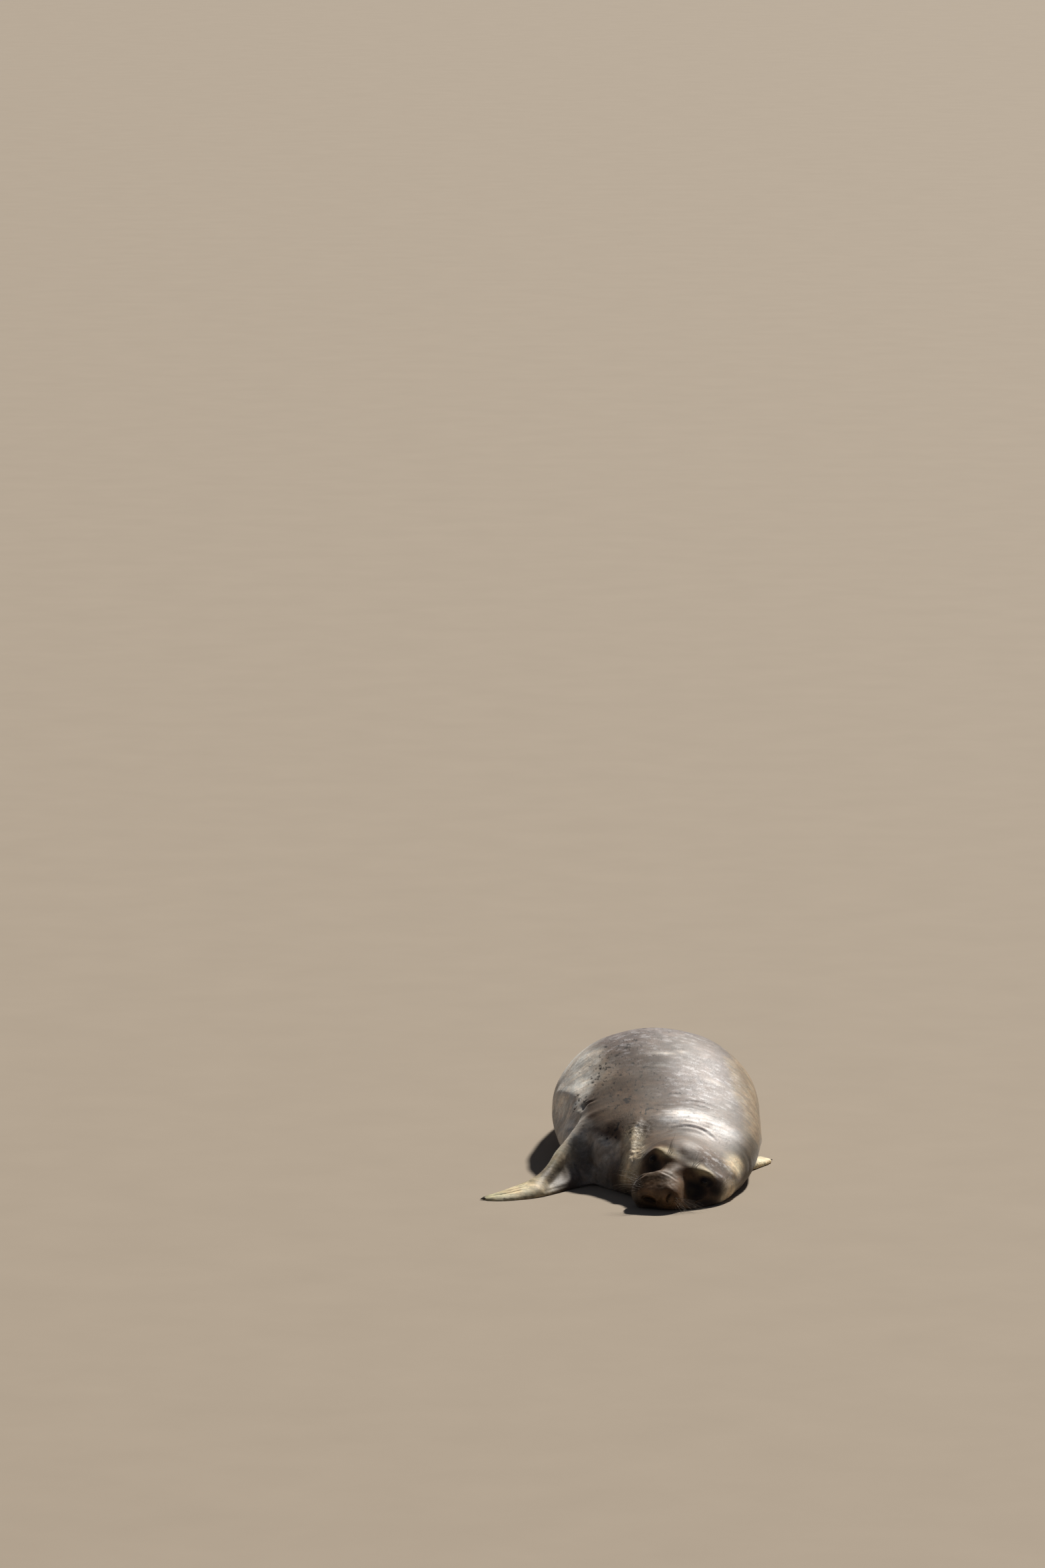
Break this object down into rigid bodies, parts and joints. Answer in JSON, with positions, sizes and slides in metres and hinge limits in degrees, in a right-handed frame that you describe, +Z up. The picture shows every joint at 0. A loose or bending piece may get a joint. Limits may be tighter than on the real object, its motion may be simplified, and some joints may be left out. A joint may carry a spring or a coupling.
{
  "type": "elephant seal",
  "caption": "Still, life-size elephant seal lying asleep on its belly, head down and rolled onto one cheek, with one fore flipper stretched out sideways.",
  "frame": {"origin": "on the ground, at the bottom centre of the bounding box", "axes": "+X to the side of the left flipper, +Y back to the tail, +Z up; the nose points to -Y"},
  "size_m": [1.1236, 2.8725, 0.4644],
  "materials": {
    "back_coat": "short flat grey-brown fur with silvery sheen and worn dark flecks",
    "face_coat": "short brown fur, smallest on the muzzle",
    "flipper_coat": "short buff fur over leathery digits",
    "horn": "dark horny claws and whiskers",
    "eye": "wet dark eye"
  },
  "bodies": {
    "root": {"snout": "face_coat", "head": "face_coat", "lower_jaw": "face_coat", "neck": "back_coat", "chest": "back_coat", "belly": "back_coat", "hips": "back_coat", "tail": "back_coat", "upper_arm_right": "back_coat", "upper_arm_left": "back_coat", "fore_flipper_right": "flipper_coat", "fore_flipper_left": "flipper_coat", "hind_flipper_right": "flipper_coat", "hind_flipper_left": "flipper_coat", "claw_right_1": "horn", "claw_right_2": "horn", "claw_right_3": "horn", "claw_right_4": "horn", "claw_right_5": "horn", "claw_left_1": "horn", "claw_left_2": "horn", "claw_left_3": "horn", "claw_left_4": "horn", "claw_left_5": "horn", "eye_right": "eye", "eye_left": "eye"}
  },
  "joints": []
}
